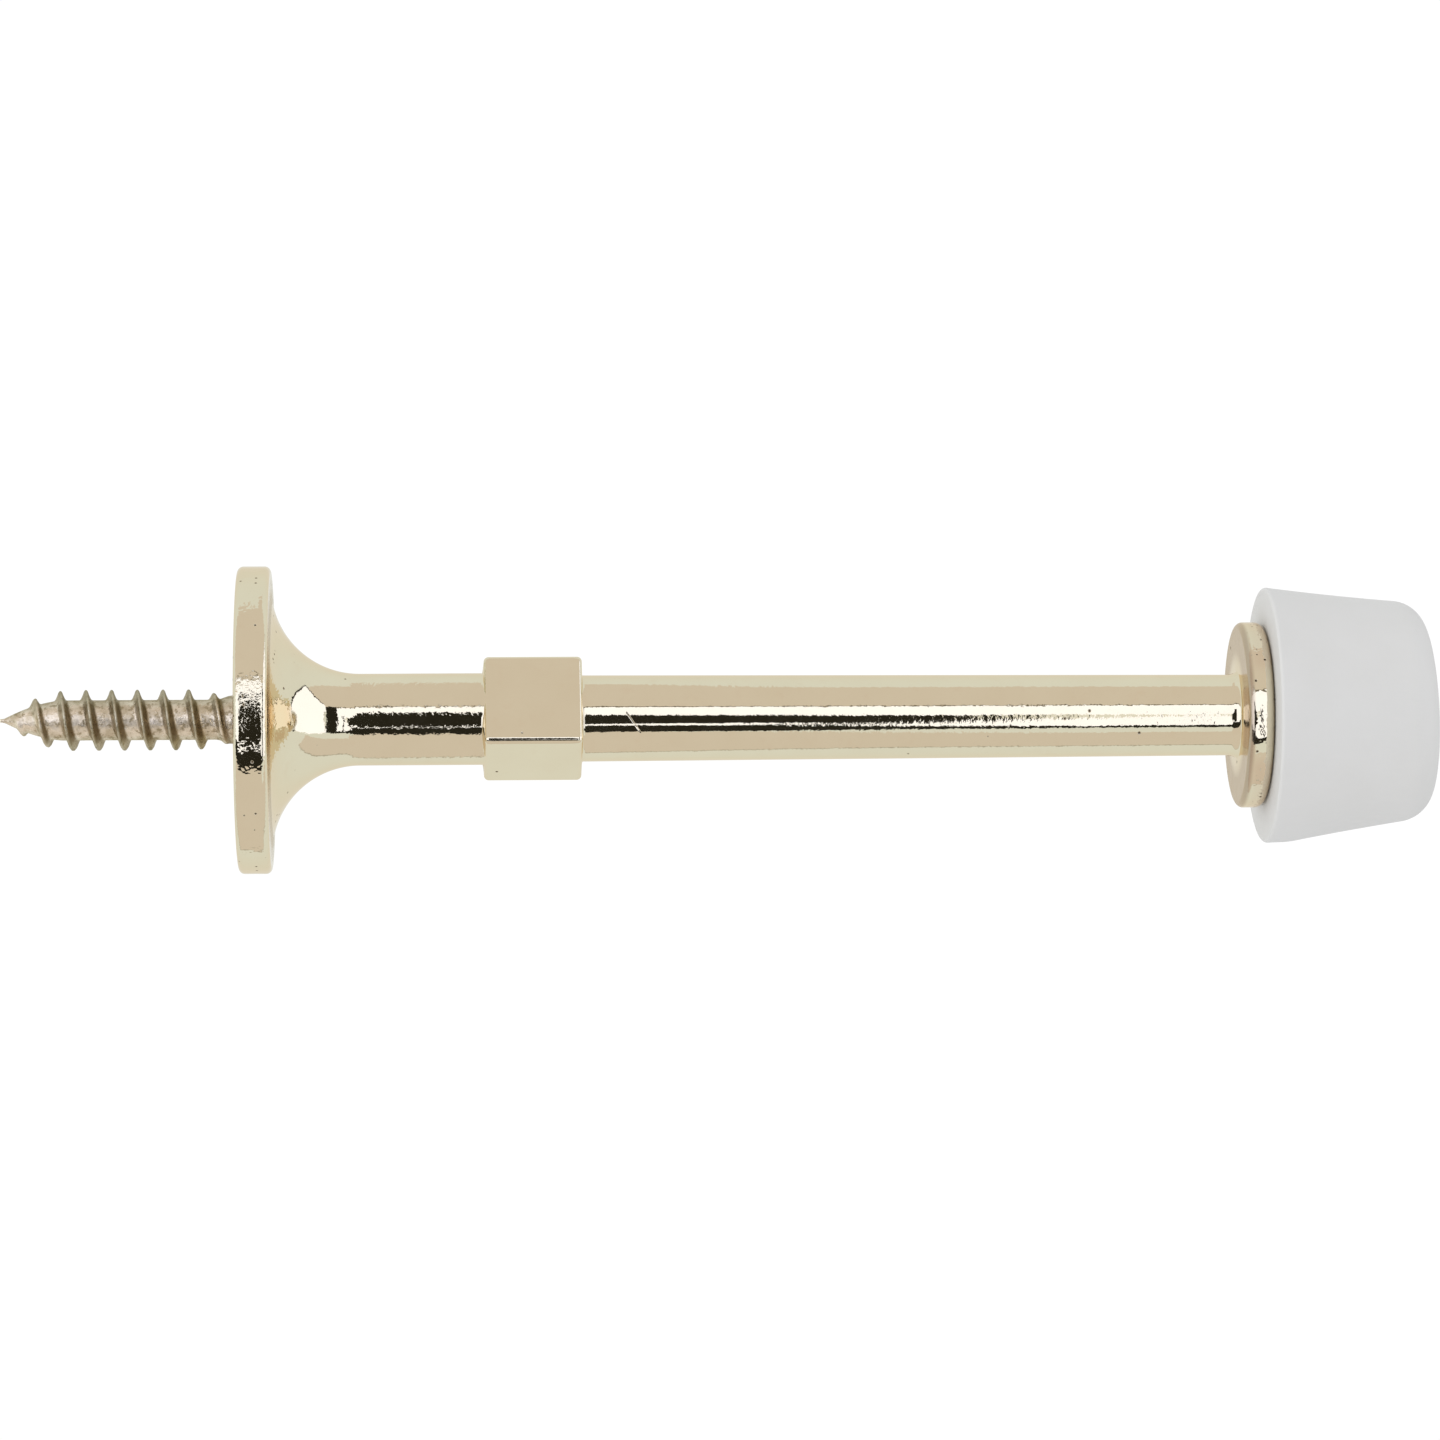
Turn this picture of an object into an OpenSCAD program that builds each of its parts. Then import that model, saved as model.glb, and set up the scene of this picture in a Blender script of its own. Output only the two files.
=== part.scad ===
// Solid rod door stop: a cast body with a wood screw at the wall end and a rubber tip at the other.
// +X runs along the stop from the wall to the door, +Z is up on a wall, and the origin is the
// centre of the base's back face, which bears on the wall.

/* [Base] */
// Diameter of the round base
base_d = 20.4; // [19.6:0.1:24]
// Thickness of the base at its rim
base_t = 2.2; // [1.8:0.05:3]
// Radius of the rim's two corners
base_edge_r = 0.4; // [0.1:0.05:0.6]
// Radius of the concave flare between the base and the shank
flare_r = 5.85; // [4:0.05:6]

/* [Rod] */
// Diameter of the shank between the base and the wrench flats
shank_d = 6.1; // [5.8:0.05:6.3]
// Width across the wrench flats
flats_w = 6.35; // [6.35:0.05:7]
// Length of the wrench flats
flats_l = 6.5; // [4:0.05:8]
// Distance from the wall to the wrench flats
flats_x = 16.25; // [15:0.05:20]
// Radius of the long edges between the wrench flats
flats_edge_r = 0.3; // [0.2:0.05:0.6]
// Diameter of the rod where it leaves the wrench flats
rod_d = 5.74; // [5.4:0.02:6]
// Diameter of the rod at the collar
rod_end_d = 5.4; // [5:0.02:5.7]
// Distance from the wall to the collar
collar_x = 66.55; // [60:0.05:75]

/* [Collar and stud] */
// Diameter of the collar that backs the rubber tip
collar_d = 12.4; // [11:0.1:14]
// Thickness of the collar
collar_t = 1.75; // [1.1:0.05:2]
// Radius of the collar's two corners
collar_edge_r = 0.4; // [0.2:0.05:0.5]
// Radius of the fillet between the rod and the collar
collar_fillet_r = 0.4; // [0.2:0.1:1]
// Diameter of the stud's neck inside the tip
stud_neck_d = 4; // [3.4:0.1:4.4]
// Length of the stud's neck
stud_neck_l = 2.6; // [2:0.1:3]
// Diameter of the stud's head, which holds the tip on
stud_head_d = 6; // [5.4:0.1:6.6]
// Thickness of the stud's head at its rim
stud_head_t = 0.8; // [0.6:0.1:1.2]
// Length of the stud's tapered nose
stud_nose_l = 1.6; // [1:0.1:2]
// Diameter of the flat end of the stud's nose
stud_nose_d = 3.4; // [3:0.1:4]

/* [Rubber tip] */
// Diameter of the tip's end at the collar
tip_back_d = 17.2; // [16:0.1:19]
// Diameter that the taper would have at the tip's front, without its rounded edge
tip_front_d = 14.2; // [13:0.1:15.5]
// Length of the rubber tip
tip_l = 11; // [10:0.1:14]
// Radius of the tip's rounded front edge
tip_front_r = 1.9; // [0.8:0.1:2.4]
// Radius of the tip's edge at the collar
tip_back_r = 0.25; // [0.2:0.05:0.6]
// Gap between the rubber tip and the metal that it sits on
tip_gap = 0.03; // [0.01:0.01:0.08]
// Depth of the air pocket in front of the stud, which the tip closes when it's pressed
tip_pocket = 1.7; // [1.6:0.1:2]

/* [Screw] */
// Length of the screw that stands out of the base
screw_l = 15.7; // [14:0.1:20]
// Diameter over the wood thread's crests
thread_d = 4.04; // [4:0.02:4.4]
// Diameter of the core between the crests
core_d = 2.62; // [2.4:0.02:2.9]
// Diameter of the plain neck at the base
neck_d = 3.2; // [3:0.05:3.4]
// Turns of thread in 25.4 mm
thread_per_inch = 15; // [12:1:16]
// Width of the thread's foot along the screw
thread_foot = 0.74; // [0.6:0.02:0.9]
// Width of the thread's crest along the screw
thread_crest = 0.16; // [0.06:0.02:0.2]
// Length of the thinner nose at the screw's point
nose_l = 4.2; // [3:0.1:5]
// Diameter of the machine thread inside the body, at its pitch line
machine_d = 3.6; // [3.4:0.05:3.8]
// Depth of the tapped socket in the body
socket_l = 9; // [7:0.5:12]
// Diameter of the countersink at the socket's mouth
countersink_d = 5; // [4.8:0.1:6]

/* [Hidden] */
$fn = 96;

// Places along the stop
flats_end = flats_x + flats_l;
tip_x = collar_x + collar_t;
stud_l = stud_neck_l + stud_head_t + stud_nose_l;

// Radii of the stud's neck, head and nose
stud_neck_r = stud_neck_d / 2;
stud_head_r = stud_head_d / 2;
stud_nose_r = stud_nose_d / 2;

// The tip's sloping side, its rounded edges' centres, and the places where they meet the side
tip_slope = atan((tip_back_d - tip_front_d) / 2 / tip_l);
tip_front_y = tip_l - tip_front_r;
function tip_side_r(y) = tip_back_d / 2 - y * tan(tip_slope);
function on_side(y, r) = tip_side_r(y) - r / cos(tip_slope);
tip_front_c = on_side(tip_front_y, tip_front_r);
tip_back_c = on_side(tip_back_r, tip_back_r);

// The machine thread's gap in its socket, and the depths where the socket and the thread begin
socket_gap = 0.02;
countersink_l = (countersink_d - machine_d) / 2;
thread_start = 0.4;
machine_x = countersink_l + thread_start;

// The collar's fillet runs this far into the rod, so that the two join
fillet_overlap = 0.01;

// The wood thread: its columns round the screw, the place where its crest starts, as an angle
// from +Y and a distance from the point, and its lines of foot and crest along the screw
pitch = 25.4 / thread_per_inch;
columns = 24;
column_turn = 360 / columns;
first_crest_turn = 25;
first_crest = 0.56;
foot_lines = [-thread_foot / 2, -thread_crest / 2, thread_crest / 2, thread_foot / 2];
line_count = len(foot_lines);
// The thread's crest reaches its full height this far from the point
crest_ramp_l = 4.8;
// Where the thread begins and is fully formed, and where its crest starts and ends its run-out
thread_from = 0.8;
thread_full = 1.6;
runout_from = screw_l - 3.3;
runout_to = screw_l - 0.5;
// Where the core starts and ends its swelling to the neck
swell_from = screw_l - 1.9;
swell_to = screw_l - 1;
point_r = 0.12;
// The threaded skin ends inside the neck, whose wall stands just proud of it
threaded_l = screw_l - 0.5;
neck_l = 0.9;
neck_wall = 0.08;
neck_inner_r = neck_d / 2 - neck_wall;

// A disc's half section with rounded corners, which starts at the height y = 0
module disc_section(r, t, corner) {
    square([r - corner, t]);
    translate([0, corner]) square([r, t - 2 * corner]);
    for (y = [corner, t - corner]) translate([r - corner, y]) circle(corner);
}

// The half section of a concave quarter round that widens from radius r down to y = 0
module cove_section(r, round_r) {
    difference() {
        square([r + round_r, round_r]);
        translate([r + round_r, round_r]) circle(round_r);
    }
}

// The stud's half section, grown by gap all round, with a pocket past its end
module stud_section(gap, pocket) {
    polygon([
        [0, 0],
        [stud_neck_r + gap, 0],
        [stud_neck_r + gap, stud_neck_l - gap],
        [stud_head_r + gap, stud_neck_l - gap],
        [stud_head_r + gap, stud_neck_l + stud_head_t + gap],
        [stud_nose_r + gap, stud_l + gap + pocket],
        [0, stud_l + gap + pocket]
    ]);
}

// A solid turned about the X axis from a half section drawn upwards from y = 0
module turned(x = 0) {
    translate([x, 0, 0]) rotate([0, 90, 0]) rotate_extrude() children();
}

// A straight bar of square section with rounded edges, along X from x = 0
module rounded_square_bar(w, l, edge_r) {
    rotate([0, 90, 0]) linear_extrude(l) {
        for (a = [0, 90]) rotate(a) square([w, w - 2 * edge_r], center = true);
        for (x = [-1, 1], y = [-1, 1]) {
            translate([x, y] * (w / 2 - edge_r)) circle(edge_r, $fn = 32);
        }
    }
}

// Base, flare, shank, wrench flats, rod, collar and stud in one casting, tapped from the back
module stop_body() {
    color("#cdbb8c") difference() {
        union() {
            turned() disc_section(base_d / 2, base_t, base_edge_r);
            turned(base_t) cove_section(shank_d / 2, flare_r);
            turned(base_t) square([shank_d / 2, flats_x - base_t]);
            translate([flats_x, 0, 0]) rounded_square_bar(flats_w, flats_l, flats_edge_r);
            translate([flats_end, 0, 0]) rotate([0, 90, 0])
                cylinder(h = collar_x - flats_end, r1 = rod_d / 2, r2 = rod_end_d / 2);
            translate([collar_x, 0, 0]) mirror([1, 0, 0])
                turned() cove_section(rod_end_d / 2 - fillet_overlap, collar_fillet_r);
            turned(collar_x) disc_section(collar_d / 2, collar_t, collar_edge_r);
            turned(tip_x) stud_section(0, 0);
        }
        turned() square([machine_d / 2 + socket_gap, socket_l]);
        rotate([0, 90, 0])
            cylinder(h = countersink_l, r1 = countersink_d / 2, r2 = machine_d / 2);
    }
}

// From 0 at a to 1 at b, with soft ends
function ramp(s, a, b) = let (t = min(1, max(0, (s - a) / (b - a)))) t * t * (3 - 2 * t);

// The core's radius at the distance s from the screw's point
function core_r(s) =
    s < nose_l ? max(point_r, core_d / 2 * (1 - pow(1 - s / nose_l, 1.7)))
    : core_d / 2 + (neck_inner_r - core_d / 2) * ramp(s, swell_from, swell_to);

// The radius over the thread's crest at the distance s from the point
function crest_r(s) =
    thread_d / 2 * (1 - pow(max(0, 1 - s / crest_ramp_l), 2))
    - (thread_d / 2 - neck_inner_r) * ramp(s, runout_from, runout_to);

// The surface's radius on line k of the thread, which is a foot line or a crest line
function thread_r(s, k) =
    let (is_crest = k % line_count == 1 || k % line_count == 2)
    let (height = max(0, crest_r(s) - core_r(s)) * ramp(s, thread_from, thread_full))
    core_r(s) + (is_crest ? height : 0);

// The distance from the point of line k at column i, kept within the threaded stretch
function line_s(k, i) = min(threaded_l, max(0,
    first_crest + pitch * (floor(k / line_count) - 2 + i / columns) + foot_lines[k % line_count]));

// The wood thread and its core as one closed skin, with its lines wound round the screw. The last
// column joins the first one a turn further on, so each end cap also takes in one turn's lines.
module wood_thread() {
    rows = (ceil(threaded_l / pitch) + 3) * line_count;
    last = columns - 1;
    points = [for (k = [0:rows - 1], i = [0:last])
        let (s = line_s(k, i), a = first_crest_turn + i * column_turn, r = thread_r(s, k))
        [s - screw_l, r * cos(a), r * sin(a)]];
    function at(k, i) = i < columns ? k * columns + i : (k + line_count) * columns;
    quads = [for (k = [0:rows - 2], i = [0:last])
        if (i < last || k + 1 + line_count < rows)
        [at(k, i), at(k + 1, i), at(k + 1, i + 1), at(k, i + 1)]];
    triangles = [for (q = quads) each [[q[0], q[1], q[2]], [q[0], q[2], q[3]]]];
    point_cap = concat([for (i = [0:last]) at(0, i)], [for (k = [line_count:-1:1]) at(k, 0)]);
    neck_cap = concat([for (i = [last:-1:0]) at(rows - 1, i)],
        [for (k = [rows - 1 - line_count:rows - 2]) at(k, last)]);
    polyhedron(points, concat(triangles, [point_cap, neck_cap]));
}

// Wood screw outside, plain neck at the wall and machine thread in the body's socket
module mounting_screw() {
    color("#a89a78") union() {
        wood_thread();
        turned(-neck_l) square([neck_d / 2, neck_l + machine_x]);
        turned(machine_x) square([machine_d / 2, socket_l - machine_x]);
    }
}

// Points on an arc of radius r about the centre c, from angle a to angle b
function arc(c, r, a, b, steps) =
    [for (i = [0:steps]) let (t = a + (b - a) * i / steps) c + r * [cos(t), sin(t)]];

// The tip's half section from the collar, with rounded edges and the hollow that the stud fills
module tip_section() {
    back_edge = arc([tip_back_c, tip_back_r], tip_back_r, -90, tip_slope, 6);
    front_edge = arc([tip_front_c, tip_front_y], tip_front_r, tip_slope, 90, 12);
    difference() {
        polygon(concat([[0, 0]], back_edge, front_edge, [[0, tip_l]]));
        translate([0, -tip_gap]) stud_section(tip_gap, tip_pocket);
    }
}

// Rubber tip pushed over the stud
module rubber_tip() {
    color("#dcdcd8") turned(tip_x) difference() {
        tip_section();
        square([tip_back_d, tip_gap]);
    }
}

stop_body();
mounting_screw();
rubber_tip();
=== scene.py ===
"""Solid rod door stop: plated casting, wood screw and rubber tip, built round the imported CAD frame."""
import math

import bmesh
import bpy
from mathutils import Matrix, Vector


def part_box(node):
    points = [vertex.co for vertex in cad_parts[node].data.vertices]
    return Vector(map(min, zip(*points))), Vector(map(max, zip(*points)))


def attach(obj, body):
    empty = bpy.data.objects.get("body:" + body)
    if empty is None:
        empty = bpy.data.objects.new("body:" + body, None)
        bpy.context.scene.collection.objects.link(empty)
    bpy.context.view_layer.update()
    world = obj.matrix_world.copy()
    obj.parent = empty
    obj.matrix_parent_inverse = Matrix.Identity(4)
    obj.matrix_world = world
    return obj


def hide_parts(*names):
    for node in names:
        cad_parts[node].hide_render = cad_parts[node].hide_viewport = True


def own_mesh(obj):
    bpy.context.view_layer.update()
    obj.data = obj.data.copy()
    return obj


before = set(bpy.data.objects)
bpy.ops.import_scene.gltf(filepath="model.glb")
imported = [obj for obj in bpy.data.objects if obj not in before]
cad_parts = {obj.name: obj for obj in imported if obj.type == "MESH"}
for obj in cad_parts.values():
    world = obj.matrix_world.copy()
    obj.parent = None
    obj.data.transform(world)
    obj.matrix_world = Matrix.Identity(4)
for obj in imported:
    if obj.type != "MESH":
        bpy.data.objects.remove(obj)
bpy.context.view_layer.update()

# Lengths are in metres, written in millimetres times MM. Angles are in degrees until they are used.
MM = 0.001

# ---------------------------------------------------------------- places and sizes, from the frame

_, body_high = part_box("stop_body")
screw_low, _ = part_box("mounting_screw")
tip_low, tip_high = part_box("rubber_tip")

BASE_R = body_high.z
POINT_X = screw_low.x
TIP_GAP = 0.03 * MM
TIP_X = tip_low.x
TIP_FRONT_X = tip_high.x
COLLAR_FRONT_X = TIP_X - TIP_GAP

# Loops of points this far from an edge keep the shading beside it true
HOLD = 0.1 * MM

# Steps round the screw and round the tip, and how much a face's size counts in the casting's shading
SCREW_STEPS = 72
TIP_STEPS = 160
FACE_WEIGHT = 90

# The casting
BASE_T = 2.2 * MM
BASE_EDGE_R = 0.4 * MM
FLARE_R = 5.85 * MM
SHANK_R = 3.05 * MM
FLATS_X = 16.25 * MM
FLATS_END_X = 22.75 * MM
FLATS_HALF = 3.175 * MM
FLATS_LONG_EDGE_R = 0.4 * MM
FLATS_END_EDGE_R = 0.32 * MM
FLATS_LEAST_EDGE_R = 0.05 * MM
FLATS_ROOT = 0.03 * MM
ROD_R = 2.87 * MM
ROD_END_R = 2.7 * MM
COLLAR_T = 1.75 * MM
COLLAR_BACK_X = COLLAR_FRONT_X - COLLAR_T
COLLAR_R = 6.2 * MM
COLLAR_EDGE_R = 0.42 * MM
COLLAR_FRONT_EDGE_R = 0.6 * MM
COLLAR_FILLET_L = 0.7 * MM
COLLAR_FILLET_H = 0.3 * MM
STUD_NECK_R = 2.0 * MM
STUD_NECK_L = 2.6 * MM
STUD_HEAD_R = 3.0 * MM
STUD_HEAD_T = 0.8 * MM
STUD_NOSE_R = 1.7 * MM
STUD_L = 5.0 * MM
SOCKET_R = 1.82 * MM
SOCKET_SHOWN_L = 2.0 * MM
COUNTERSINK_R = 2.5 * MM
COUNTERSINK_EDGE_R = 0.08 * MM
COUNTERSINK_EDGE_OUT = 0.06 * MM

# The wood screw. Its rows are wound from TURNS_BEFORE before the first crest, held in at the point.
PITCH = 25.4 / 15 * MM
THREAD_R = 2.02 * MM
CORE_R = 1.33 * MM
NECK_R = 1.6 * MM
POINT_R = 0.12 * MM
NOSE_L = 4.2 * MM
NOSE_POWER = 1.7
CREST_RAMP_L = 4.8 * MM
THREAD_FROM = 0.8 * MM
THREAD_FULL = 1.6 * MM
RUNOUT_FROM_X = -3.0 * MM
RUNOUT_TO_X = -0.5 * MM
SWELL_FROM_X = -1.5 * MM
SWELL_TO_X = -0.4 * MM
FIRST_CREST = 0.56 * MM
FIRST_CREST_ANGLE = 25.0
SCREW_INSIDE_L = 1.9 * MM
SCREW_RISE = 0.05 * MM
TURNS_BEFORE = 2
WELD_GAP = 0.002 * MM

# The rubber tip. It bends up the picture by TIP_LEAN and sits low by TIP_DROP.
TIP_BACK_R = 8.68 * MM
TIP_FRONT_R = 7.1 * MM
TIP_BACK_EDGE_R = 0.22 * MM
TIP_FRONT_EDGE_L = 2.0 * MM
TIP_FRONT_EDGE_H = 1.75 * MM
TIP_CROWN = 0.06 * MM
TIP_SIDE_HOLLOW = 0.05 * MM
TIP_LEAN = 2.2
TIP_DROP = 0.15 * MM
TIP_PRESSED = 0.27 * MM
TIP_PRESSED_L = 1.6 * MM
BORE_GAP = 0.05 * MM
BORE_LIP_L = 2.2 * MM
BORE_HEAD_END = 4.0 * MM
BORE_END = 6.8 * MM

# ---------------------------------------------------------------- camera

# The photograph's view: steep from above, turned and rolled a little, through a long lens
VIEW_ELEVATION = 64.7
VIEW_TURN = 2.87
VIEW_ROLL = 0.31
VIEW_DISTANCE = 361.4 * MM
VIEW_HALF_ANGLE = 7.549
AIM_X = 31.97 * MM
AXIS_ABOVE_CENTRE = 0.15 * MM
SENSOR_WIDTH = 36.0
CLIP_START = 0.01
CLIP_END = 10

elevation = math.radians(VIEW_ELEVATION)
to_camera = Vector((0, -math.cos(elevation), math.sin(elevation)))
image_up = Vector((0, math.sin(elevation), math.cos(elevation)))
along = Vector((1, 0, 0))


def make_camera():
    """A long lens above the stop, turned a little towards the rubber tip."""
    aim = along * AIM_X - image_up * AXIS_ABOVE_CENTRE
    turn = math.tan(math.radians(VIEW_TURN))
    place = aim + VIEW_DISTANCE * (to_camera - along * turn)
    back = (place - aim).normalized()
    roll = math.radians(VIEW_ROLL)
    up = image_up * math.cos(roll) + along * math.sin(roll)
    right = up.cross(back).normalized()
    up = back.cross(right)
    data = bpy.data.cameras.new("camera")
    data.sensor_width = SENSOR_WIDTH
    data.lens = SENSOR_WIDTH / 2 / math.tan(math.radians(VIEW_HALF_ANGLE))
    data.clip_start = CLIP_START
    data.clip_end = CLIP_END
    camera = bpy.data.objects.new("camera", data)
    camera.matrix_world = Matrix((right, up, back)).transposed().to_4x4()
    camera.location = place
    bpy.context.scene.collection.objects.link(camera)
    bpy.context.scene.camera = camera


make_camera()

# ---------------------------------------------------------------- mesh helpers


def arc(centre, radius, start, end, steps):
    """Points (x, r) on an arc. 0 degrees points along +X and 90 degrees away from the axis."""
    turns = [math.radians(start + (end - start) * i / steps) for i in range(steps + 1)]
    return [(centre[0] + radius * math.cos(a), centre[1] + radius * math.sin(a)) for a in turns]


def flats_angles(per_flat=30, per_edge=10):
    """Angles round the axis, closer together at the wrench flats' long edges."""
    inner = FLATS_HALF - FLATS_LONG_EDGE_R
    points = [(FLATS_HALF, -inner + 2 * inner * i / per_flat) for i in range(per_flat)]
    for i in range(per_edge):
        a = math.radians(90 * i / per_edge)
        points.append((inner + FLATS_LONG_EDGE_R * math.cos(a), inner + FLATS_LONG_EDGE_R * math.sin(a)))
    quarter = [math.atan2(y, x) for x, y in points]
    return [a + math.pi / 2 * k for k in range(4) for a in quarter]


def flats_radius(angle, inset=0.0):
    """Distance from the axis to the wrench flats, drawn in by inset, in one direction."""
    half, edge = FLATS_HALF - inset, max(FLATS_LONG_EDGE_R - inset, FLATS_LEAST_EDGE_R)
    a = abs((angle + math.pi / 4) % (math.pi / 2) - math.pi / 4)
    corner = half - edge
    if half * math.tan(a) <= corner:
        return half / math.cos(a)
    toward = corner * (math.cos(a) + math.sin(a))
    return toward + math.sqrt(max(toward * toward - 2 * corner * corner + edge * edge, 0))


def ring(x, radius, angles):
    """One loop of points round the X axis. radius is a length or a function of the angle."""
    sizes = [radius(a) if callable(radius) else radius for a in angles]
    return [Vector((x, r * math.cos(a), r * math.sin(a))) for a, r in zip(angles, sizes)]


def make_object(name, points, faces):
    """A smooth-shaded mesh object in the scene."""
    mesh = bpy.data.meshes.new(name)
    mesh.from_pydata(points, [], faces)
    mesh.validate()
    mesh.shade_smooth()
    made = bpy.data.objects.new(name, mesh)
    bpy.context.scene.collection.objects.link(made)
    return made


def loft(name, rings):
    """A closed skin through rings of equal length, with its ends closed by fans."""
    n = len(rings[0])
    points = [p for r in rings for p in r]
    faces = []
    for k in range(len(rings) - 1):
        for i in range(n):
            j = (i + 1) % n
            faces.append((k * n + i, (k + 1) * n + i, (k + 1) * n + j, k * n + j))
    for k, flip in ((0, False), (len(rings) - 1, True)):
        centre = len(points)
        points.append(sum(rings[k], Vector()) / n)
        for i in range(n):
            j = (i + 1) % n
            faces.append((centre, k * n + j, k * n + i) if flip else (centre, k * n + i, k * n + j))
    made = make_object(name, points, faces)
    outward(made)
    return made


def outward(made):
    """Turns every face outwards."""
    work = bmesh.new()
    work.from_mesh(made.data)
    bmesh.ops.recalc_face_normals(work, faces=work.faces)
    work.to_mesh(made.data)
    work.free()


def weigh_normals(made):
    """Lets the large faces set the shading, so that flats and cylinders shade true beside edges."""
    made.modifiers.new("weighted normals", "WEIGHTED_NORMAL").weight = FACE_WEIGHT


# ---------------------------------------------------------------- the casting


def spread(start, end, count):
    """The places between start and end that cut the way from one to the other in count equal steps."""
    return [start + (end - start) * i / count for i in range(1, count)]


def base_profile():
    """The socket's mouth, the base and its flare, as points (x, r)."""
    rim_r = BASE_R - BASE_EDGE_R
    profile = [(SOCKET_SHOWN_L, SOCKET_R), (COUNTERSINK_R - SOCKET_R, SOCKET_R)]
    mouth = (COUNTERSINK_EDGE_R, COUNTERSINK_R + COUNTERSINK_EDGE_OUT)
    profile += arc(mouth, COUNTERSINK_EDGE_R, 235, 180, 3)
    profile += [(0, COUNTERSINK_R + 3 * HOLD), (0, (COUNTERSINK_R + BASE_R) / 2), (0, rim_r - HOLD)]
    profile += arc((BASE_EDGE_R, rim_r), BASE_EDGE_R, 180, 90, 8)
    profile += [(BASE_T * share, BASE_R) for share in (0.3, 0.5, 0.7)]
    profile += arc((BASE_T - BASE_EDGE_R, rim_r), BASE_EDGE_R, 90, 0, 8)
    profile += [(BASE_T, rim_r - HOLD)]
    return profile + arc((BASE_T + FLARE_R, SHANK_R + FLARE_R), FLARE_R, 180, 270, 40)


def shank_profile():
    """The plain shank between the flare and the wrench flats."""
    places = spread(BASE_T + FLARE_R, FLATS_X, 10) + [FLATS_X - 2 * HOLD, FLATS_X - HOLD]
    return [(x, SHANK_R) for x in places]


def flats_rings(angles):
    """The square section with its rounded edges. It never goes inside the shank or the rod."""
    edge = FLATS_END_EDGE_R
    turns = [math.radians(90 * i / 6) for i in range(7)]
    ends = [(edge * (1 - math.cos(a)), edge * (1 - math.sin(a))) for a in turns]

    def section(x, inset, least):
        return ring(x, lambda a: max(least, flats_radius(a, inset)), angles)

    rings = [section(FLATS_X + away, inset, SHANK_R) for away, inset in ends]
    rings += [section(x, 0, 0) for x in spread(FLATS_X, FLATS_END_X, 10)]
    return rings + [section(FLATS_END_X - away, inset, ROD_R) for away, inset in reversed(ends)]


def rod_profile():
    """The slim tapered rod, with a fillet at the collar."""
    end_x = COLLAR_BACK_X - COLLAR_FILLET_L
    profile = [(FLATS_END_X + FLATS_ROOT, ROD_R + FLATS_ROOT)]
    profile += [(FLATS_END_X + 3 * FLATS_ROOT, ROD_R), (FLATS_END_X + 6 * FLATS_ROOT, ROD_R)]
    profile += list(zip(spread(FLATS_END_X, end_x, 30), spread(ROD_R, ROD_END_R, 30)))
    turns = [math.radians(90 * i / 14) for i in range(15)]
    profile += [(end_x + COLLAR_FILLET_L * math.sin(a), ROD_END_R + COLLAR_FILLET_H * (1 - math.cos(a)))
                for a in turns]
    return profile


def collar_profile():
    """The collar that the rubber tip stands on."""
    back_corner = COLLAR_R - COLLAR_EDGE_R
    front_corner = COLLAR_R - COLLAR_FRONT_EDGE_R
    profile = [(COLLAR_BACK_X, (ROD_END_R + COLLAR_R) / 2), (COLLAR_BACK_X, back_corner - HOLD)]
    profile += arc((COLLAR_BACK_X + COLLAR_EDGE_R, back_corner), COLLAR_EDGE_R, 180, 90, 8)
    profile += arc((COLLAR_FRONT_X - COLLAR_FRONT_EDGE_R, front_corner), COLLAR_FRONT_EDGE_R, 90, 0, 8)
    return profile + [(COLLAR_FRONT_X, front_corner - HOLD), (COLLAR_FRONT_X, STUD_NECK_R + HOLD)]


def stud_profile():
    """The stud inside the rubber tip: a neck, a head and a tapered nose."""
    head_x = COLLAR_FRONT_X + STUD_NECK_L
    profile = [(COLLAR_FRONT_X, STUD_NECK_R), (head_x, STUD_NECK_R), (head_x, STUD_HEAD_R)]
    return profile + [(head_x + STUD_HEAD_T, STUD_HEAD_R), (COLLAR_FRONT_X + STUD_L, STUD_NOSE_R)]


def make_casting():
    """The casting as one skin, from the screw's socket round the base and along the rod to the stud."""
    angles = flats_angles()
    rings = [ring(x, r, angles) for x, r in base_profile() + shank_profile()]
    rings += flats_rings(angles)
    rings += [ring(x, r, angles) for x, r in rod_profile() + collar_profile() + stud_profile()]
    made = loft("plated_body", rings)
    weigh_normals(made)
    return made


# ---------------------------------------------------------------- the wood screw


def ramp(value, start, end):
    """From 0 at start to 1 at end, with soft ends."""
    t = min(max((value - start) / (end - start), 0), 1)
    return t * t * (3 - 2 * t)


# The thread's section along the screw: millimetres from the crest, and share of the thread's height
THREAD_SECTION = [
    (-0.44, 0.0), (-0.36, 0.05), (-0.28, 0.2), (-0.17, 0.58), (-0.11, 0.86), (-0.045, 0.99),
    (0.045, 0.99), (0.11, 0.86), (0.17, 0.58), (0.28, 0.2), (0.36, 0.05), (0.44, 0.0),
    (0.58, 0.0), (0.72, 0.0), (0.86, 0.0), (1.0, 0.0), (1.13, 0.0),
]


def screw_radius(s, share):
    """The skin's radius at the distance s from the point, where the thread has this share of its height."""
    x = POINT_X + s
    if s < NOSE_L:
        core = max(POINT_R, CORE_R * (1 - (1 - s / NOSE_L) ** NOSE_POWER))
    else:
        core = CORE_R + (NECK_R - CORE_R) * ramp(x, SWELL_FROM_X, SWELL_TO_X)
    crest = THREAD_R * (1 - max(0, 1 - s / CREST_RAMP_L) ** 2)
    crest -= (THREAD_R - NECK_R) * ramp(x, RUNOUT_FROM_X, RUNOUT_TO_X)
    return core + max(0, crest - core) * ramp(s, THREAD_FROM, THREAD_FULL) * share


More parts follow.
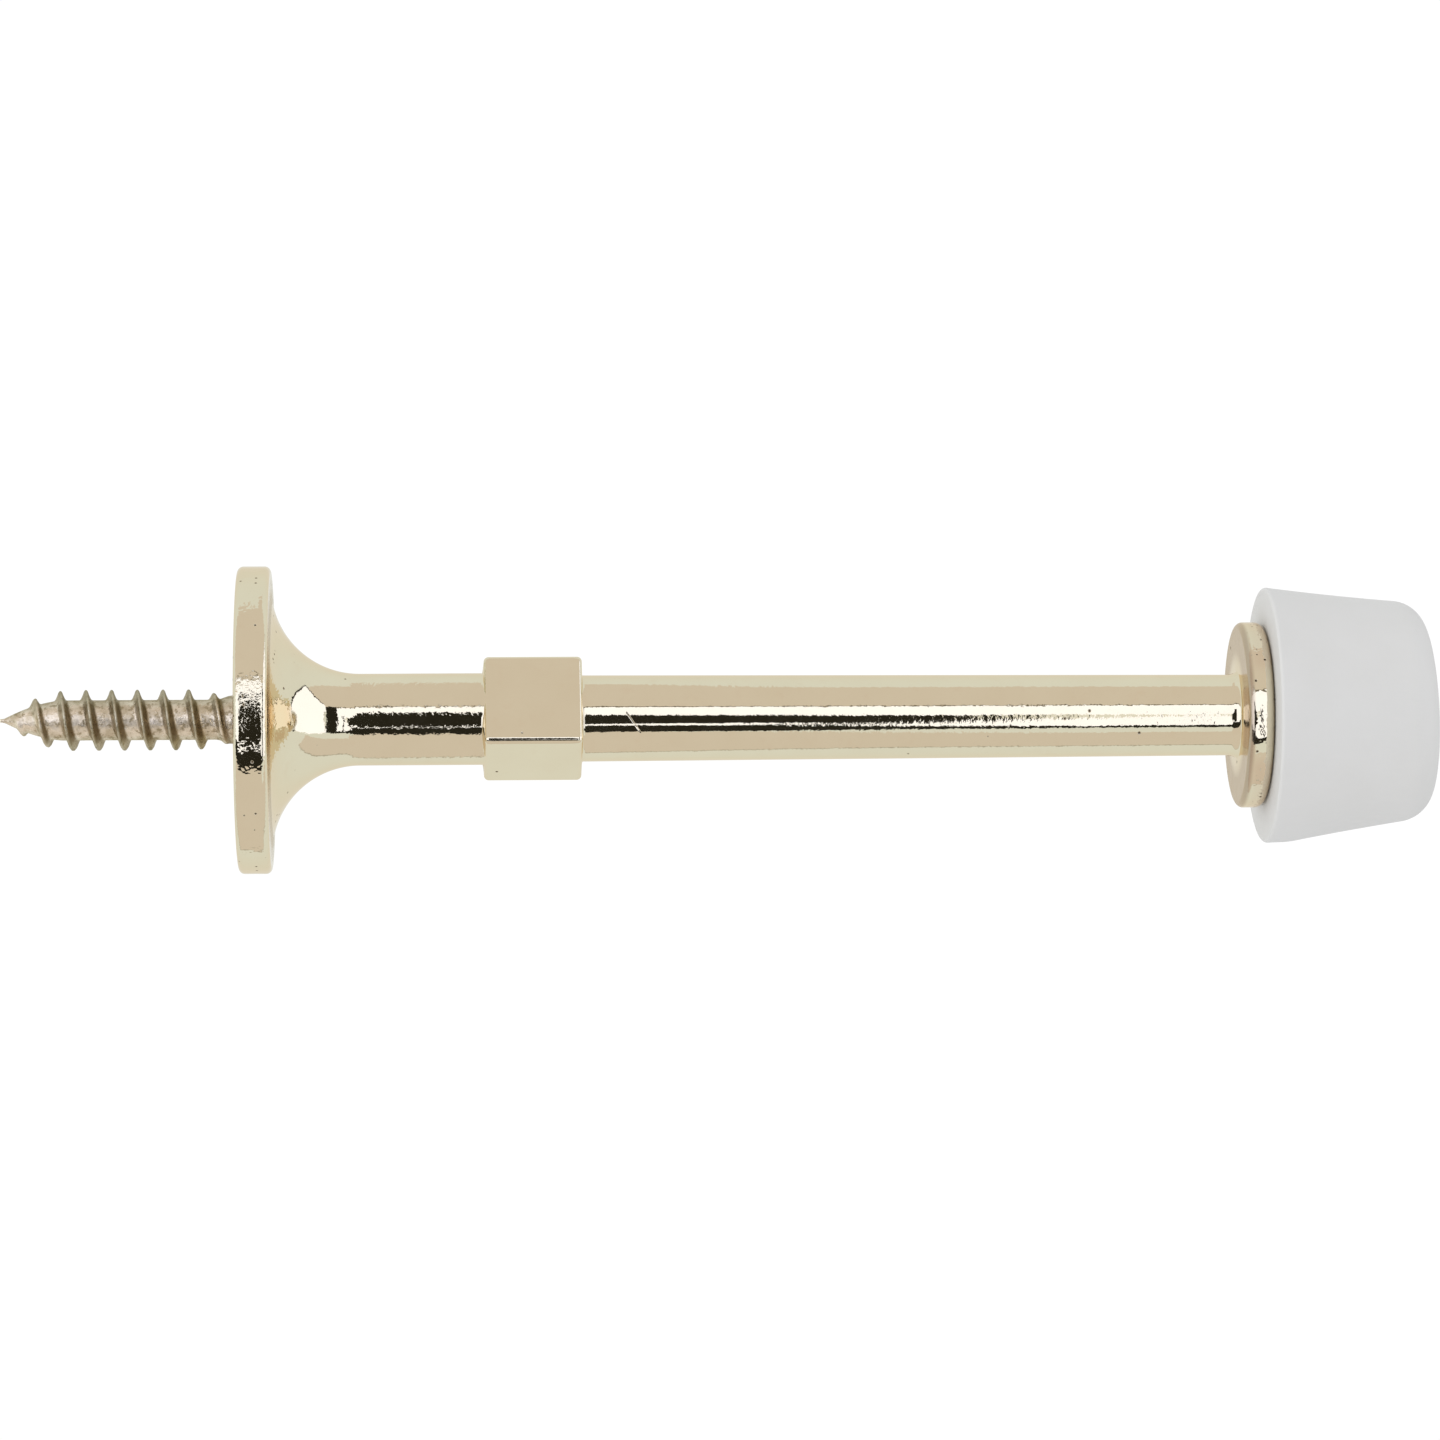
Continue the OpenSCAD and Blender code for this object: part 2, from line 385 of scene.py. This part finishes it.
def screw_points(rows, columns):
    """Each row of points winds once round the screw, along one line of the thread's section."""
    lines = len(THREAD_SECTION)
    length = SCREW_INSIDE_L - POINT_X
    points = []
    for k in range(rows):
        offset, share = THREAD_SECTION[k % lines]
        for i in range(columns):
            s = FIRST_CREST + PITCH * (k // lines - TURNS_BEFORE + i / columns) + offset * MM
            s = min(max(s, 0), length)
            a = math.radians(FIRST_CREST_ANGLE) + math.tau * i / columns
            r = screw_radius(s, share)
            points.append(Vector((POINT_X + s, r * math.cos(a), r * math.sin(a))) + image_up * SCREW_RISE)
    return points


def screw_faces(rows, columns):
    """The faces between the rows. A row's end meets the start of the row one turn further on."""
    lines = len(THREAD_SECTION)

    def at(k, i):
        return k * columns + i if i < columns else (k + lines) * columns

    faces = [(at(k, i), at(k + 1, i), at(k + 1, i + 1), at(k, i + 1))
             for k in range(rows - 1) for i in range(columns)
             if i < columns - 1 or k + 1 + lines < rows]
    faces.append([at(0, i) for i in range(columns)] + [at(k, 0) for k in range(lines, 0, -1)])
    faces.append([at(rows - 1, i) for i in range(columns - 1, -1, -1)]
                 + [at(k, columns - 1) for k in range(rows - 1 - lines, rows - 1)])
    return faces


def make_screw():
    """The wood thread as one skin wound round the screw, with the plain neck going into the body."""
    turns = math.ceil((SCREW_INSIDE_L - POINT_X) / PITCH) + TURNS_BEFORE + 1
    rows = turns * len(THREAD_SECTION)
    made = make_object("wood_screw", screw_points(rows, SCREW_STEPS), screw_faces(rows, SCREW_STEPS))
    weld(made, WELD_GAP)
    outward(made)
    return made


def weld(made, distance):
    """Joins the points that share a place, at the screw's point and at its end."""
    work = bmesh.new()
    work.from_mesh(made.data)
    bmesh.ops.remove_doubles(work, verts=work.verts, dist=distance)
    bmesh.ops.dissolve_degenerate(work, edges=work.edges, dist=distance / 2)
    work.to_mesh(made.data)
    work.free()
    made.data.shade_smooth()


# ---------------------------------------------------------------- the rubber tip


def settled(point):
    """Where a point of the tip's skin goes: the tip bends upwards towards its front, as a pushed-on
    tip does, and the lower part of its back edge is pressed in a little."""
    reach, up = point.x - TIP_X, point.dot(image_up)
    bend = math.tan(math.radians(TIP_LEAN))
    pressed = TIP_PRESSED * max(0, -up / TIP_BACK_R) ** 2 * max(0, 1 - reach / TIP_PRESSED_L)
    back = along * bend * up * reach / (TIP_FRONT_X - TIP_X)
    return point + image_up * (bend * reach - TIP_DROP + pressed) - back


def tip_outer():
    """The tip's skin outside the stud's hollow, from its back to its front, as points (x, r)."""
    length = TIP_FRONT_X - TIP_X
    slope = (TIP_BACK_R - TIP_FRONT_R) / length
    back = (TIP_X + TIP_BACK_EDGE_R, TIP_BACK_R - TIP_BACK_EDGE_R * (1 + slope))
    hollow_r = STUD_HEAD_R + 6 * HOLD
    profile = [(TIP_X, hollow_r), (TIP_X, (STUD_HEAD_R + back[1]) / 2), (TIP_X, back[1] - 2 * HOLD)]
    profile += arc(back, TIP_BACK_EDGE_R, 180, 90 - math.degrees(math.atan(slope)), 8)
    side_l = length - TIP_CROWN - TIP_FRONT_EDGE_L
    for i, x in enumerate(spread(TIP_BACK_EDGE_R, side_l, 16), 1):
        hollow = TIP_SIDE_HOLLOW * math.sin(math.pi * i / 16)
        profile.append((TIP_X + x, TIP_BACK_R - slope * x - hollow))
    face_r = TIP_BACK_R - slope * side_l - TIP_FRONT_EDGE_H
    for a in (math.radians(90 * i / 20) for i in range(21)):
        forward = TIP_FRONT_EDGE_L * math.sin(a)
        r = face_r + TIP_FRONT_EDGE_H * math.cos(a) - slope * forward / 2
        profile.append((TIP_X + side_l + forward, r))
    edge_r = profile[-1][1]
    crown = [(TIP_FRONT_X - TIP_CROWN * share ** 2, edge_r * share) for share in (0.9, 0.7, 0.5, 0.3, 0.12)]
    return profile + crown


def tip_bore():
    """The hollow that the stud fills, from its deep end to the tip's back, as points (x, r)."""
    return [
        (COLLAR_FRONT_X + BORE_END, STUD_NOSE_R + BORE_GAP),
        (COLLAR_FRONT_X + BORE_HEAD_END, STUD_HEAD_R + BORE_GAP),
        (COLLAR_FRONT_X + BORE_LIP_L, STUD_HEAD_R + BORE_GAP),
        (COLLAR_FRONT_X + BORE_LIP_L, STUD_NECK_R + BORE_GAP),
        (TIP_X + HOLD, STUD_NECK_R + BORE_GAP),
        (TIP_X, STUD_NECK_R + BORE_GAP + HOLD),
    ]


def make_tip():
    """The tapered tip with its hollow for the stud."""
    angles = [math.tau * i / TIP_STEPS for i in range(TIP_STEPS)]
    rings = [ring(x, r, angles) for x, r in tip_bore()]
    rings += [[settled(p) for p in ring(x, r, angles)] for x, r in tip_outer()]
    return loft("rubber_tip_cover", rings)


# ---------------------------------------------------------------- materials

# Base colours, and the tints of reflections at grazing angles (SHEEN)
BRASS = (0.80, 0.725, 0.55, 1)
BRASS_PALE = (0.84, 0.775, 0.60, 1)
BRASS_WARM = (0.80, 0.70, 0.53, 1)
# Painted shade: the collar's back face, darkened to stand for the darker surroundings it reflects
BRASS_SHADED_FACE = (0.47, 0.375, 0.28, 1)
# Painted reflection: the collar's rim, darker above and below its highlight
BRASS_SHADED_RIM = (0.77, 0.665, 0.51, 1)
BRASS_SHEEN = (0.97, 0.88, 0.78, 1)
# The dark of the pits, and painted shade in the corner where the flare meets the base
DIRT_AND_SHADE = (0.15, 0.11, 0.07, 1)

SCREW = (0.60, 0.515, 0.375, 1)
SCREW_PALE = (0.91, 0.815, 0.675, 1)
SCREW_BLOTCH = (0.33, 0.26, 0.15, 1)
SCREW_THREAD = (0.36, 0.33, 0.22, 1)
SCREW_CREST = (0.36, 0.35, 0.24, 1)
# Painted shadow on the thread's flanks that face the base
SCREW_FLANK_SHADE = (0.20, 0.145, 0.08, 1)
# Painted shade at the screw's edges
SCREW_EDGE_SHADE = (0.28, 0.26, 0.18, 1)
SCREW_SHEEN = (0.7, 0.64, 0.52, 1)

RUBBER = (0.65, 0.65, 0.645, 1)
RUBBER_PALE = (0.685, 0.685, 0.685, 1)
RUBBER_SPECK = (0.42, 0.42, 0.41, 1)

# The casting's skin grows uneven between these distances from the axis, on the base and the collar
UNEVEN_FROM_R = 4.6 * MM
UNEVEN_TO_R = 6.0 * MM

# Stretches of the plating that ripple most: their middle along the stop, and their reach each way
SHANK_RIPPLES = (12 * MM, 7 * MM)
ROD_RIPPLES = (44 * MM, 15 * MM)
ROD_END_RIPPLES = (55 * MM, 9 * MM)

# The scratch: its middle along the stop and up the picture, its slant, and its half width and length
SCRATCH_X = 25.92 * MM
SCRATCH_UP = -0.26 * MM
SCRATCH_SLANT = 0.7
SCRATCH_HALF_W = 0.08 * MM
SCRATCH_HALF_L = 0.75 * MM


class Shader:
    """A material whose nodes are made by short calls."""

    def __init__(self, name):
        self.material = bpy.data.materials.new(name)
        self.material.use_nodes = True
        self.tree = self.material.node_tree
        self.bsdf = self.tree.nodes["Principled BSDF"]
        self.place = self.node("ShaderNodeTexCoord").outputs["Object"]

    def node(self, kind, **settings):
        """A new node with these settings."""
        made = self.tree.nodes.new(kind)
        for key, value in settings.items():
            setattr(made, key, value)
        return made

    def link(self, source, socket):
        """Feeds the socket from another socket, or sets it to a value."""
        if isinstance(source, bpy.types.NodeSocket):
            self.tree.links.new(source, socket)
        else:
            socket.default_value = source

    def maths(self, operation, a, b=0.0):
        """One sum on numbers or sockets."""
        made = self.node("ShaderNodeMath", operation=operation)
        self.link(a, made.inputs[0])
        self.link(b, made.inputs[1])
        return made.outputs[0]

    def times(self, a, b):
        return self.maths("MULTIPLY", a, b)

    def plus(self, a, b):
        return self.maths("ADD", a, b)

    def most(self, a, b):
        """The larger of the two."""
        return self.maths("MAXIMUM", a, b)

    def scaled(self, x, y, z):
        """The place on the object, scaled along each axis."""
        made = self.node("ShaderNodeVectorMath", operation="MULTIPLY")
        self.link(self.place, made.inputs[0])
        made.inputs[1].default_value = (x, y, z)
        return made.outputs[0]

    def noise(self, per_mm, detail=2.0, roughness=0.5, stretch=(1, 1, 1)):
        """Noise from 0 to 1 with this many cells to the millimetre."""
        made = self.node("ShaderNodeTexNoise")
        size = per_mm / MM
        self.link(self.scaled(*(size * s for s in stretch)), made.inputs["Vector"])
        made.inputs["Scale"].default_value = 1
        made.inputs["Detail"].default_value = detail
        made.inputs["Roughness"].default_value = roughness
        return made.outputs["Fac"]

    def ease(self, value, low, high, to_low=0.0, to_high=1.0):
        """A smooth step from to_low, where the value is low, to to_high, where it is high."""
        made = self.node("ShaderNodeMapRange", interpolation_type="SMOOTHSTEP")
        self.link(value, made.inputs["Value"])
        for name, number in (("From Min", low), ("From Max", high), ("To Min", to_low), ("To Max", to_high)):
            self.link(number, made.inputs[name])
        return made.outputs["Result"]

    def mix(self, share, a, b):
        """Colour a with this share of it turned to colour b."""
        made = self.node("ShaderNodeMix", data_type="RGBA")
        self.link(share, made.inputs["Factor"])
        self.link(a, made.inputs["A"])
        self.link(b, made.inputs["B"])
        return made.outputs["Result"]

    def spots(self, cell_mm, radius_share, chance):
        """1 inside small round spots with soft edges, scattered over the surface. A cell of this
        size has one spot or none, by chance, and the spot's radius is a share of the cell."""
        size = 1 / (cell_mm * MM)
        cells = self.node("ShaderNodeTexVoronoi")
        self.link(self.scaled(size, size, size), cells.inputs["Vector"])
        cells.inputs["Scale"].default_value = 1
        kept = self.maths("LESS_THAN", self.split(cells.outputs["Color"])[0], chance)
        near = self.ease(cells.outputs["Distance"], radius_share * 0.5, radius_share, 1, 0)
        return self.times(kept, near)

    def split(self, vector):
        """The three numbers in a place or a colour."""
        made = self.node("ShaderNodeSeparateXYZ")
        self.link(vector, made.inputs[0])
        return made.outputs

    def off_axis(self, y, z):
        """Distance from the stop's axis."""
        return self.maths("SQRT", self.plus(self.times(y, y), self.times(z, z)))

    def up_picture(self, y, z):
        """Distance above the stop's axis as seen from the camera."""
        return self.plus(self.times(y, image_up.y), self.times(z, image_up.z))

    def near(self, value, centre, reach, full=0.35):
        """1 within a full share of the reach from the centre, easing to 0 at the whole reach."""
        away = self.maths("ABSOLUTE", self.maths("SUBTRACT", value, centre))
        return self.ease(away, full * reach, reach, 1, 0)

    def scratch(self, x, up, z):
        """A thin slanting scratch across the upper side of the rod, beside the wrench flats."""
        line = self.near(self.plus(x, self.times(up, SCRATCH_SLANT)), SCRATCH_X, SCRATCH_HALF_W)
        ends = self.near(up, SCRATCH_UP, SCRATCH_HALF_L)
        upper_side = self.ease(z, 0, 1 * MM)
        return self.times(line, self.times(ends, upper_side))

    def bump(self, height, depth_mm, normal=None):
        """The normal of a skin with this height, as deep as this where the height is 1."""
        made = self.node("ShaderNodeBump")
        made.inputs["Strength"].default_value = 1
        made.inputs["Distance"].default_value = depth_mm * MM
        self.link(height, made.inputs["Height"])
        if normal is not None:
            self.link(normal, made.inputs["Normal"])
        return made.outputs["Normal"]


def plating_tint(s, rough_shaded_face, pitted_shaded_rim):
    """Cloudy pale brass, with painted shade on the collar's rough back face and a painted darker, yellower
    reflection on its rim above and below the highlight.
    """
    tint = s.mix(s.noise(0.35, 3), BRASS, BRASS_PALE)
    tint = s.mix(s.ease(s.noise(0.9, 2), 0.55, 0.8, 0, 0.4), tint, BRASS_WARM)
    tint = s.mix(s.times(rough_shaded_face, 0.85), tint, BRASS_SHADED_FACE)
    return s.mix(s.times(pitted_shaded_rim, 0.8), tint, BRASS_SHADED_RIM)


def plating_ripples(s, x):
    """Fine ripples in the plating, deeper on the shank and on two stretches of the rod."""
    on_shank = s.near(x, *SHANK_RIPPLES)
    on_rod = s.plus(s.near(x, *ROD_RIPPLES), s.near(x, *ROD_END_RIPPLES))
    skin = s.plus(0.35, s.plus(on_shank, s.times(on_rod, 0.35)))
    fine = s.bump(s.times(s.noise(2.7, 2, 0.6), skin), 0.011)
    return s.bump(s.noise(0.8, 2), 0.008, fine)


def cast_skin(s, x, up, radius, pitted_shaded_rim, normal):
    """The casting's uneven skin: on the base and the collar, and rougher on the base's outer rim."""
    uneven = s.times(s.ease(radius, UNEVEN_FROM_R, UNEVEN_TO_R), s.ease(x, 30 * MM, 60 * MM, 1, 0.6))
    uneven = s.plus(uneven, s.times(pitted_shaded_rim, 1.6))
    cast = s.bump(s.times(s.noise(1.5, 2, 0.6), uneven), 0.035, normal)
    outer_rim = s.ease(radius, BASE_R - 0.3 * MM, BASE_R - 0.1 * MM)
    rough = s.times(outer_rim, s.near(up, 1 * MM, 2.6 * MM))
    return s.bump(s.times(s.noise(2.4, 3, 0.62), rough), 0.038, cast)


def plating():
    """Bright pale brass plating over a casting, with pits that gather on the rims, painted shade on the
    collar's rough back face, a painted darker reflection on the collar's rim, painted shade in the corner
    where the flare meets the base, and one scratch across the rod."""
    s = Shader("brass_plating")
    x, y, z = s.split(s.place)
    radius = s.off_axis(y, z)
    up = s.up_picture(y, z)
    # The collar's back face: rougher, and darkened in colour as painted shade
    rough_shaded_face = s.times(s.near(x, COLLAR_BACK_X, 0.5 * MM), s.ease(radius, 3.2 * MM, 4.4 * MM))
    # The collar's rim above and below its highlight: a painted darker reflection in colour, and more pits
    # and ripples
    pitted_shaded_rim = s.times(s.ease(x, COLLAR_BACK_X, COLLAR_BACK_X + COLLAR_T / 2),
                      s.ease(s.maths("ABSOLUTE", up), 2.6 * MM, 3.6 * MM))
    rim_pits = s.times(s.ease(radius, UNEVEN_FROM_R, UNEVEN_TO_R), s.spots(0.62, 0.17, 0.3))
    pits = s.most(s.most(s.spots(1.7, 0.08, 0.22), rim_pits), s.times(pitted_shaded_rim, s.spots(0.42, 0.15, 0.4)))
    # Painted shade: a dark line in the corner where the flare meets the base
    in_corner = s.near(x, BASE_T + 0.06 * MM, 0.09 * MM)
    corner_shade = s.times(in_corner, s.ease(radius, BASE_R - 0.5 * MM, BASE_R - 1 * MM))
    pits_and_shade = s.most(pits, s.times(corner_shade, 0.4))
    s.link(s.mix(pits_and_shade, plating_tint(s, rough_shaded_face, pitted_shaded_rim), DIRT_AND_SHADE), s.bsdf.inputs["Base Color"])
    s.bsdf.inputs["Metallic"].default_value = 1
    s.bsdf.inputs["Specular Tint"].default_value = BRASS_SHEEN
    haze = s.plus(s.ease(s.noise(0.8, 3), 0.35, 0.75, 0.03, 0.065), s.times(rough_shaded_face, 0.16))
    s.link(s.most(haze, s.times(pits_and_shade, 0.6)), s.bsdf.inputs["Roughness"])
    skin = cast_skin(s, x, up, radius, pitted_shaded_rim, plating_ripples(s, x))
    s.link(s.bump(s.most(pits, s.scratch(x, up, z)), -0.04, skin), s.bsdf.inputs["Normal"])
    return s.material


def screw_tint(s, x, y, z):
    """Blotched yellow-grey and grey-green on the crests, with painted brown shadow on the flanks that face
    the base and painted grey-green shade at the edges, most on the upper side.
    """
    radius = s.off_axis(y, z)
    up = s.up_picture(y, z)
    turn = s.maths("DIVIDE", s.maths("ARCTAN2", z, y), math.tau)
    first = (POINT_X + FIRST_CREST) / PITCH - FIRST_CREST_ANGLE / 360
    wound = s.maths("SUBTRACT", s.maths("DIVIDE", x, PITCH), s.plus(turn, first))
    after_crest = s.maths("FRACT", wound)
    # Painted shadow: the flanks that face the base turn brown, less on the lower side
    flank_shade = s.times(s.near(after_crest, 0.14, 0.16), s.ease(radius, 1.15 * MM, 1.4 * MM))
    flank_shade = s.times(flank_shade, s.ease(up, -1.8 * MM, -0.9 * MM, 0.25, 0.85))
    thread = s.ease(radius, 1.3 * MM, 1.6 * MM)
    crest = s.ease(radius, 1.7 * MM, 1.95 * MM)
    tint = s.mix(s.ease(s.noise(1.3, 4, 0.6), 0.3, 0.7), SCREW, SCREW_PALE)
    tint = s.mix(s.ease(s.noise(2.1, 4, 0.7), 0.52, 0.62, 0, 0.8), tint, SCREW_BLOTCH)
    tint = s.mix(s.times(thread, 0.15), tint, SCREW_THREAD)
    tint = s.mix(s.times(crest, 0.45), tint, SCREW_CREST)
    tint = s.mix(flank_shade, tint, SCREW_FLANK_SHADE)
    # Painted shade: darker towards the edges as seen from the camera, more on the upper side
    edge = s.node("ShaderNodeLayerWeight")
    edge.inputs["Blend"].default_value = 0.3
    upper_shade = s.ease(up, 0, 1 * MM, 0.2, 0.8)
    return s.mix(s.times(edge.outputs["Facing"], upper_shade), tint, SCREW_EDGE_SHADE)


def screw_plating():
    """Dull blotched plating on a rolled screw."""
    s = Shader("screw_plating")
    s.link(screw_tint(s, *s.split(s.place)), s.bsdf.inputs["Base Color"])
    s.bsdf.inputs["Metallic"].default_value = 0.9
    s.bsdf.inputs["Specular Tint"].default_value = SCREW_SHEEN
    s.link(s.ease(s.noise(2.2, 3), 0.3, 0.7, 0.24, 0.44), s.bsdf.inputs["Roughness"])
    grain = s.bump(s.noise(5, 3, 0.6), 0.035)
    s.link(s.bump(s.noise(1.6, 2), 0.1, grain), s.bsdf.inputs["Normal"])
    return s.material


def white_rubber():
    """Matte moulded rubber: faintly cloudy, with fine grain, soft lines along it and a few specks."""
    s = Shader("white_rubber")
    tint = s.mix(s.noise(0.25, 3), RUBBER, RUBBER_PALE)
    specks = s.spots(3.1, 0.035, 0.3)
    s.link(s.mix(s.times(specks, 0.5), tint, RUBBER_SPECK), s.bsdf.inputs["Base Color"])
    s.link(s.ease(s.noise(0.5, 2), 0.3, 0.7, 0.5, 0.62), s.bsdf.inputs["Roughness"])
    s.bsdf.inputs["Specular IOR Level"].default_value = 0.3
    grain = s.bump(s.noise(9, 3, 0.6), 0.006)
    lines = s.bump(s.noise(1.4, 2, stretch=(0.2, 1, 1)), 0.02, grain)
    s.link(s.bump(s.noise(0.5, 2), 0.05, lines), s.bsdf.inputs["Normal"])
    return s.material


# ---------------------------------------------------------------- pieces

casting = make_casting()
casting.data.materials.append(plating())
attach(casting, "stop")
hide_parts("stop_body")

screw = make_screw()
screw.data.materials.append(screw_plating())
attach(screw, "stop")
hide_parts("mounting_screw")

tip = make_tip()
tip.data.materials.append(white_rubber())
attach(tip, "bumper")
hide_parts("rubber_tip")
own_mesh(tip)

# ---------------------------------------------------------------- stage and light

FLOOR_Z = -60 * MM
FLOOR_HALF = 3.0
FLOOR_LIGHT_HALF = 1.0

# The cards stand round the stop at these distances, and the tent runs from LEFT to RIGHT in millimetres
TENT_R = VIEW_DISTANCE
FARTHER = TENT_R * 1.1
NEARER = TENT_R * 0.97
NEAREST = NEARER * 0.999
LEFT, RIGHT = -700, 900

# The light that each part of the stage gives
WHITE = (1.3, 1.33, 1.52)
WALL = (0.735, 0.67, 0.61)
CREAM = (0.82, 0.85, 0.83)
SHADE = (0.5, 0.47, 0.42)
SEAM = (0.2, 0.18, 0.14)
DARK = (0.022, 0.02, 0.014)
PALE_EDGE = (0.9, 0.9, 0.88)
FLOOR_SHOWN = (1.03, 1.03, 1.03)
FLOOR_LIGHT = (0.8, 0.8, 0.8)
SIDE_LIGHT = (1.35, 1.35, 1.33)
WORLD_LIGHT = 0.97


def glow(name, light):
    """A plain emitting material for the stage."""
    material = bpy.data.materials.new(name)
    material.use_nodes = True
    tree = material.node_tree
    tree.nodes.clear()
    emission = tree.nodes.new("ShaderNodeEmission")
    emission.inputs["Color"].default_value = (*light, 1)
    out = tree.nodes.new("ShaderNodeOutputMaterial")
    tree.links.new(emission.outputs[0], out.inputs[0])
    return material


def staged(name, points, faces, light, seen_by="plating"):
    """A part of the stage, seen by the camera, by the rubber that it lights, or in the plating."""
    made = make_object(name, points, faces)
    made.data.materials.append(glow(name, light))
    made.visible_camera = seen_by == "camera"
    made.visible_diffuse = seen_by == "rubber"
    made.visible_glossy = seen_by == "plating"
    made.visible_shadow = False


def level_square(half, z):
    """The corners of a square at this height, centred under the stop's origin."""
    return [(x * half, y * half, z) for x, y in ((-1, -1), (1, -1), (1, 1), (-1, 1))]


def upright_square(half):
    """The corners of a square for an end card, centred on the stop's axis."""
    return [(-half, -half), (-half, half), (half, half), (half, -half)]


def card(name, stations, light, radius=TENT_R):
    """A light card bent round the stop. Each station has a place along the stop in millimetres, and
    the card's lower and upper edges there, as angles round the stop from the camera's side."""
    steps = 24
    points = []
    for x, low, high in stations:
        for i in range(steps + 1):
            a = math.radians(low + (high - low) * i / steps)
            points.append(along * x * MM + radius * (to_camera * math.cos(a) + image_up * math.sin(a)))
    row = steps + 1
    faces = [(k * row + i, (k + 1) * row + i, (k + 1) * row + i + 1, k * row + i + 1)
             for k in range(len(stations) - 1) for i in range(steps)]
    staged(name, points, faces, light)


def end_card(name, x, corners, light, seen_by="plating"):
    """A flat card square to the stop, beyond one of its ends. Its place along the stop is in
    millimetres, and so is each corner: up the picture, and towards the camera."""
    points = [along * x * MM + image_up * up * MM + to_camera * out * MM for up, out in corners]
    staged(name, points, [tuple(range(len(points)))], light, seen_by)


# The floor that the camera sees, and the light on the rubber from below and from the screw's side
staged("floor", level_square(FLOOR_HALF, FLOOR_Z), [(0, 1, 2, 3)], FLOOR_SHOWN, "camera")
staged("floor_light", level_square(FLOOR_LIGHT_HALF, FLOOR_Z), [(0, 1, 2, 3)], FLOOR_LIGHT, "rubber")
end_card("left_light", -250, upright_square(300), SIDE_LIGHT, "rubber")

# The pale inside of the light tent all round, closed at both ends
card("tent", [(LEFT, -180, 180), (RIGHT, -180, 180)], CREAM, FARTHER)
end_card("tent_left", LEFT, upright_square(450), CREAM)
end_card("tent_right", RIGHT, upright_square(450), CREAM)

# Its walls, above and below the bright window that the camera looks in through
card("wall_high", [
    (LEFT, 34, 91), (-10, 34, 91), (4, 34, 104), (40, 32, 104), (60, 31, 90), (RIGHT, 31, 88),
], WALL)
card("seam_high", [
    (LEFT, 32, 34.5), (20, 31.5, 34.5), (40, 29.5, 32.5), (85, 29, 31.5), (RIGHT, 29, 31.5),
], SEAM)
card("window", [(LEFT, -36, 32), (20, -36, 31.5), (40, -36, 29.5), (85, -33, 29), (190, -33, 29)], WHITE)
card("window_frame", [(190, -33, 33), (325, -33, 33)], DARK)
card("wall_low", [
    (LEFT, -111, -36), (4, -112, -36), (40, -102, -36), (60, -95, -38), (76, -92, -43), (90, -92, -48),
    (RIGHT, -92, -50),
], WALL)
card("seam_low", [
    (LEFT, -114, -111), (4, -114.5, -112), (40, -104.5, -102), (60, -97.5, -95), (76, -94.5, -92),
    (RIGHT, -94.5, -92),
], SHADE)

# The window's far end and its dark frame, beyond the rubber tip
end_card("far_window", 330, [
    (220, 317), (243, -17), (173, -15), (86, -41), (13, -44), (-34, -20), (-221, 337),
], WHITE)
end_card("far_frame", 336, [
    (235, 330), (257, -30), (180, -30), (90, -56), (12, -60), (-48, -32), (-48, 10), (-221, 338),
], DARK)

# The camera and its stand, dark in front of the window, with a pale edge on the camera
card("camera_body", [
    (-60, -16, 16), (-15, -19, 17), (24, -19, 16.5), (28, -15, 11), (35, -15, 10), (49, -14, 6.5),
    (57, -15, 7.5), (63, -14, 5), (69, -21, 4.5), (76, -19, 4), (83, -14, 3), (90, -9, 3), (98, -5, 2.5),
    (106, -2, 1),
], DARK, NEARER)
card("camera_edge", [(90, -10, 4), (100, -6, 4), (112, -2, 2)], PALE_EDGE, NEAREST)
card("camera_arm", [(120.6, -25, 9), (122, -27, 11), (126, -28, 10), (132, -28, 4)], DARK, NEARER)
card("camera_stand", [
    (LEFT, -37, -18), (-15, -37, -20.5), (24, -37.5, -20.5), (35, -37, -18), (49, -36, -20), (57, -37, -20),
    (63, -35.5, -18), (69, -36, -23), (76, -34.5, -25), (90, -34, -27.5), (190, -34, -28.5),
], DARK, NEARER)

world = bpy.data.worlds.new("world")
bpy.context.scene.world = world
world.use_nodes = True
world.node_tree.nodes["Background"].inputs["Color"].default_value = (1, 1, 1, 1)
world.node_tree.nodes["Background"].inputs["Strength"].default_value = WORLD_LIGHT

bpy.context.scene.view_settings.view_transform = "Standard"
bpy.context.scene.view_settings.look = "None"
